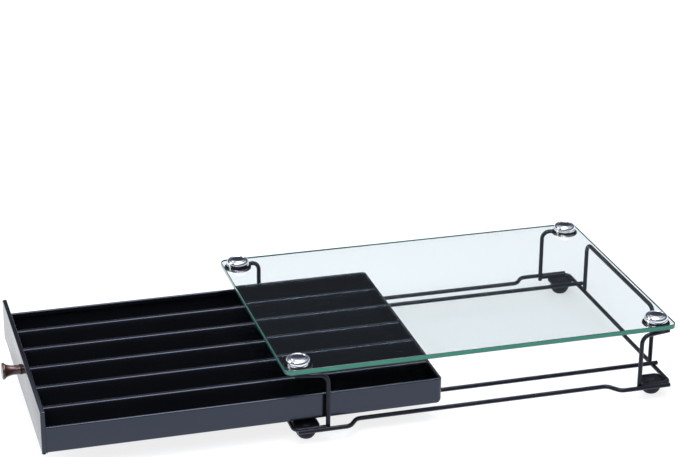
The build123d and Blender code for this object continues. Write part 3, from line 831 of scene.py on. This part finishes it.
class PODDRAWER_OT_front(Operator):
    """Fold the front panel and turn its knob and bumpers"""
    bl_idname = "poddrawer.front"
    bl_label = "Drawer front"

    def panel(self, given):
        low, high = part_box("front_panel")
        centre, half = middle("front_panel"), size("front_panel") / 2
        depth, t, e = high.x - low.x, given.sheet, given.panel_round
        back, corner = 0.4 * MM, 1.5 * MM   # radii of the folded edge behind and of the outline
        steps = [(e - e * sin(radians(a)), e - e * cos(radians(a))) for a in range(0, 91, 15)]
        steps += [
            (back * (1 - cos(radians(a))), depth - back + back * sin(radians(a)))
            for a in range(0, 91, 30)]
        steps += [(given.panel_lip, depth), (given.panel_lip, depth - t), (t, depth - t), (t, t)]
        rings = []
        for inset, x in steps:
            loop = rounded_loop(
                half.y - inset, half.z - inset, max(corner - inset, 0.2 * MM), 5)
            rings.append([(low.x + x, y, centre.z + z) for y, z in loop])
        mesh = tidy_mesh(mesh_from_rings("front_panel_folded", rings), FOLD_ANGLE)
        piece = new_object("front_panel_folded", mesh)
        set_only_material(piece, material(coated_sheet))
        hand_over(piece, "drawer", "coated_sheet", "front_panel")

    def knob(self):
        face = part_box("knob")[1].x          # the panel's face, where the knob's base sits
        centre, r, total = middle("knob"), size("knob").y / 2, size("knob").x
        base, neck, rim, flare = 5.2 * MM, 4.7 * MM, 2.6 * MM, 8.5 * MM
        start = total - rim - flare
        under = total - rim                 # lower side of the rim
        profile = [
            (0, 0), (base - 0.2 * MM, 0), (base, 0.3 * MM), (base, 1.2 * MM), (neck, 2.4 * MM),
            (neck, start)]
        profile += [
            (neck + (r - neck) * (1 - cos(radians(a))) ** 0.8, start + flare * sin(radians(a)))
            for a in range(8, 89, 8)]
        profile += [
            (r - 0.1 * MM, under + 0.1 * MM), (r, under + 0.4 * MM), (r, total - 0.7 * MM),
            (r - 0.25 * MM, total - 0.25 * MM), (r - 0.8 * MM, total)]
        # The face is dished a little.
        profile += [
            (r - 1.5 * MM, total - 0.05 * MM), (r - 2.0 * MM, total - 0.3 * MM),
            (r * 0.4, total - 0.1 * MM), (0, total)]
        mesh = turned("knob_turned", profile, 72)
        mesh.transform(
            Matrix.Translation((face, centre.y, centre.z)) @ Matrix.Rotation(-pi / 2, 4, "Y"))
        piece = new_object("knob_turned", mesh)
        set_only_material(piece, material(bronze_lacquer))
        hand_over(piece, "drawer", "knob_metal", "knob")

    def bumpers(self):
        for name, _ in SIDES:
            node = f"{name}_panel_bumper"
            r, h, centre = size(node).x / 2, size(node).z, middle(node)
            profile = [(0, 0)] + [
                (r * sin(radians(a)), h * 0.5 * (1 - cos(radians(a))))
                for a in range(20, 91, 14)] + [(r, h), (0, h)]
            mesh = turned(f"{node}_moulded", profile, 32)
            mesh.transform(Matrix.Translation((centre.x, centre.y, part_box(node)[0].z)))
            piece = new_object(f"{node}_moulded", mesh)
            set_only_material(piece, material(moulded_rubber))
            hand_over(piece, "drawer", "black_rubber", node)

    def execute(self, context):
        self.panel(context.scene.drawer_sizes)
        self.knob()
        self.bumpers()
        set_only_material(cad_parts["knob_screw"], material(zinc_plate))
        return {"FINISHED"}


# Studio round the object, as (sine of the height, colour): a pale horizon, a dim band over it
# that keeps level surfaces dark, and a bright ceiling.
SKY = (
    (0.0, "#e6ecf8"), (0.11, "#e2e9f6"), (0.2, "#464a52"), (0.46, "#464a52"), (0.62, "#e2e9f8"),
    (1.0, "#ffffff"))
SKY_STRENGTH = 0.9
FLOOR_GLOW = 0.82       # what the floor sends to the camera and into reflections, so that it is white
FLOOR_COLOUR = "#8d8f94"
# Name, place, aim, power in watts, and size across and down.
SOFTBOXES = (
    ("key_softbox", (-0.9, -1.2, 1.8), (0.0, 0.0, 0.05), 14.0, 1.2, 0.9),
    ("top_softbox", (0.25, -0.05, 1.7), (0.1, 0.0, 0.0), 26.0, 1.7, 0.9),
    ("side_softbox", (-1.6, 0.4, 0.9), (-0.2, 0.0, 0.05), 9.0, 0.8, 0.8))


class PODDRAWER_OT_stage(Operator):
    """Set up the floor, the lights and the camera"""
    bl_idname = "poddrawer.stage"
    bl_label = "Stage"

    def floor(self):
        mesh = bpy.data.meshes.new("floor")
        far = 30
        mesh.from_pydata(
            [(-far, -far, 0), (far, -far, 0), (far, far, 0), (-far, far, 0)], [], [(0, 1, 2, 3)])
        floor = new_object("floor", mesh)
        made = bpy.data.materials.new("Floor_matt_white")
        made.use_nodes = True
        tree = made.node_tree
        tree.nodes.clear()
        path = add_node(tree, "ShaderNodeLightPath").outputs
        seen = add_node(
            tree, "ShaderNodeMath", links={0: path["Is Camera Ray"], 1: path["Is Glossy Ray"]},
            operation="MAXIMUM")
        seen = add_node(
            tree, "ShaderNodeMath", links={0: seen.outputs[0], 1: path["Is Transmission Ray"]},
            operation="MAXIMUM")
        glow = add_node(
            tree, "ShaderNodeMath", {1: FLOOR_GLOW}, {0: seen.outputs[0]}, operation="MULTIPLY")
        lit = add_node(tree, "ShaderNodeBsdfDiffuse", {"Color": (*linear(FLOOR_COLOUR), 1.0)})
        shown = add_node(
            tree, "ShaderNodeEmission", {"Color": (1, 1, 1, 1)}, {"Strength": glow.outputs[0]})
        both = add_node(tree, "ShaderNodeAddShader", links={0: lit.outputs[0], 1: shown.outputs[0]})
        add_node(tree, "ShaderNodeOutputMaterial", links={"Surface": both.outputs[0]})
        mesh.materials.append(made)

    def world(self):
        world = bpy.data.worlds.new("Studio")
        bpy.context.scene.world = world
        world.use_nodes = True
        tree = world.node_tree
        tree.nodes.clear()
        where = add_node(tree, "ShaderNodeTexCoord").outputs["Generated"]
        height = add_node(tree, "ShaderNodeSeparateXYZ", links={0: where}).outputs["Z"]
        ramp = add_node(tree, "ShaderNodeValToRGB", links={"Fac": height})
        stops = ramp.color_ramp.elements
        for place, _ in SKY[2:]:
            stops.new(place)
        for stop, (place, code) in zip(stops, SKY):
            stop.position = place
            stop.color = (*linear(code), 1)
        shown = add_node(
            tree, "ShaderNodeBackground", {"Strength": SKY_STRENGTH}, {"Color": ramp.outputs["Color"]})
        add_node(tree, "ShaderNodeOutputWorld", links={"Surface": shown.outputs[0]})

    def softbox(self, name, place, aim, power, across, down):
        """A rectangular area light that points at a place."""
        light = bpy.data.lights.new(name, "AREA")
        light.shape = "RECTANGLE"
        light.size, light.size_y = across, down
        light.energy = power
        box = new_object(name, light)
        box.location = place
        box.rotation_euler = (Vector(aim) - Vector(place)).to_track_quat("-Z", "Y").to_euler()

    def camera(self):
        """The photograph's viewpoint, in the frame of the part."""
        place = (GLASS_X - 0.63976, -1.81501, 0.93985)
        azimuth, elevation, roll = radians(16.314), radians(22.421), radians(0.453)
        look = Vector((cos(elevation) * sin(azimuth), cos(elevation) * cos(azimuth), -sin(elevation)))
        right = Vector((cos(azimuth), -sin(azimuth), 0.0))
        up = right.cross(look)
        across = right * cos(roll) + up * sin(roll)
        upright = up * cos(roll) - right * sin(roll)
        data = bpy.data.cameras.new("photo_view")
        data.sensor_fit = "HORIZONTAL"
        data.sensor_width = 36.0
        data.lens = 109.24
        data.clip_start, data.clip_end = 0.05, 60.0
        camera = new_object("photo_view", data)
        turn = Matrix((across, upright, -look)).transposed().to_4x4()
        camera.matrix_world = Matrix.Translation(place) @ turn
        bpy.context.scene.camera = camera

    def execute(self, context):
        self.floor()
        self.world()
        for softbox in SOFTBOXES:
            self.softbox(*softbox)
        self.camera()
        context.scene.view_settings.view_transform = "Standard"
        return {"FINISHED"}


class PODDRAWER_PT_panel(Panel):
    """Sizes, finishes and the pieces in their order"""
    bl_idname = "PODDRAWER_PT_panel"
    bl_label = "Pod drawer"
    bl_space_type = "VIEW_3D"
    bl_region_type = "UI"
    bl_category = "Pod drawer"

    def draw(self, context):
        for step in STEPS:
            self.layout.operator(step.bl_idname, text=step.bl_label)
        groups = (("Stand", "stand_sizes"), ("Drawer", "drawer_sizes"), ("Finishes", "finishes"))
        for label, group in groups:
            box = self.layout.box()
            box.label(text=label)
            given = getattr(context.scene, group)
            for name in given.__annotations__:
                box.prop(given, name)


STEPS = (
    PODDRAWER_OT_wires, PODDRAWER_OT_glass, PODDRAWER_OT_fittings, PODDRAWER_OT_tray,
    PODDRAWER_OT_rails, PODDRAWER_OT_front, PODDRAWER_OT_stage)
GROUPS = {"stand_sizes": StandSizes, "drawer_sizes": DrawerSizes, "finishes": Finishes}


def register():
    for made in (*GROUPS.values(), *STEPS, PODDRAWER_PT_panel):
        bpy.utils.register_class(made)
    for name, group in GROUPS.items():
        setattr(bpy.types.Scene, name, PointerProperty(type=group))


def unregister():
    for name in GROUPS:
        delattr(bpy.types.Scene, name)
    for made in reversed((*GROUPS.values(), *STEPS, PODDRAWER_PT_panel)):
        bpy.utils.unregister_class(made)


def main():
    register()
    bpy.ops.poddrawer.wires()
    bpy.ops.poddrawer.glass()
    bpy.ops.poddrawer.fittings()
    bpy.ops.poddrawer.tray()
    bpy.ops.poddrawer.rails()
    bpy.ops.poddrawer.front()
    bpy.ops.poddrawer.stage()


if __name__ == "__main__":
    main()
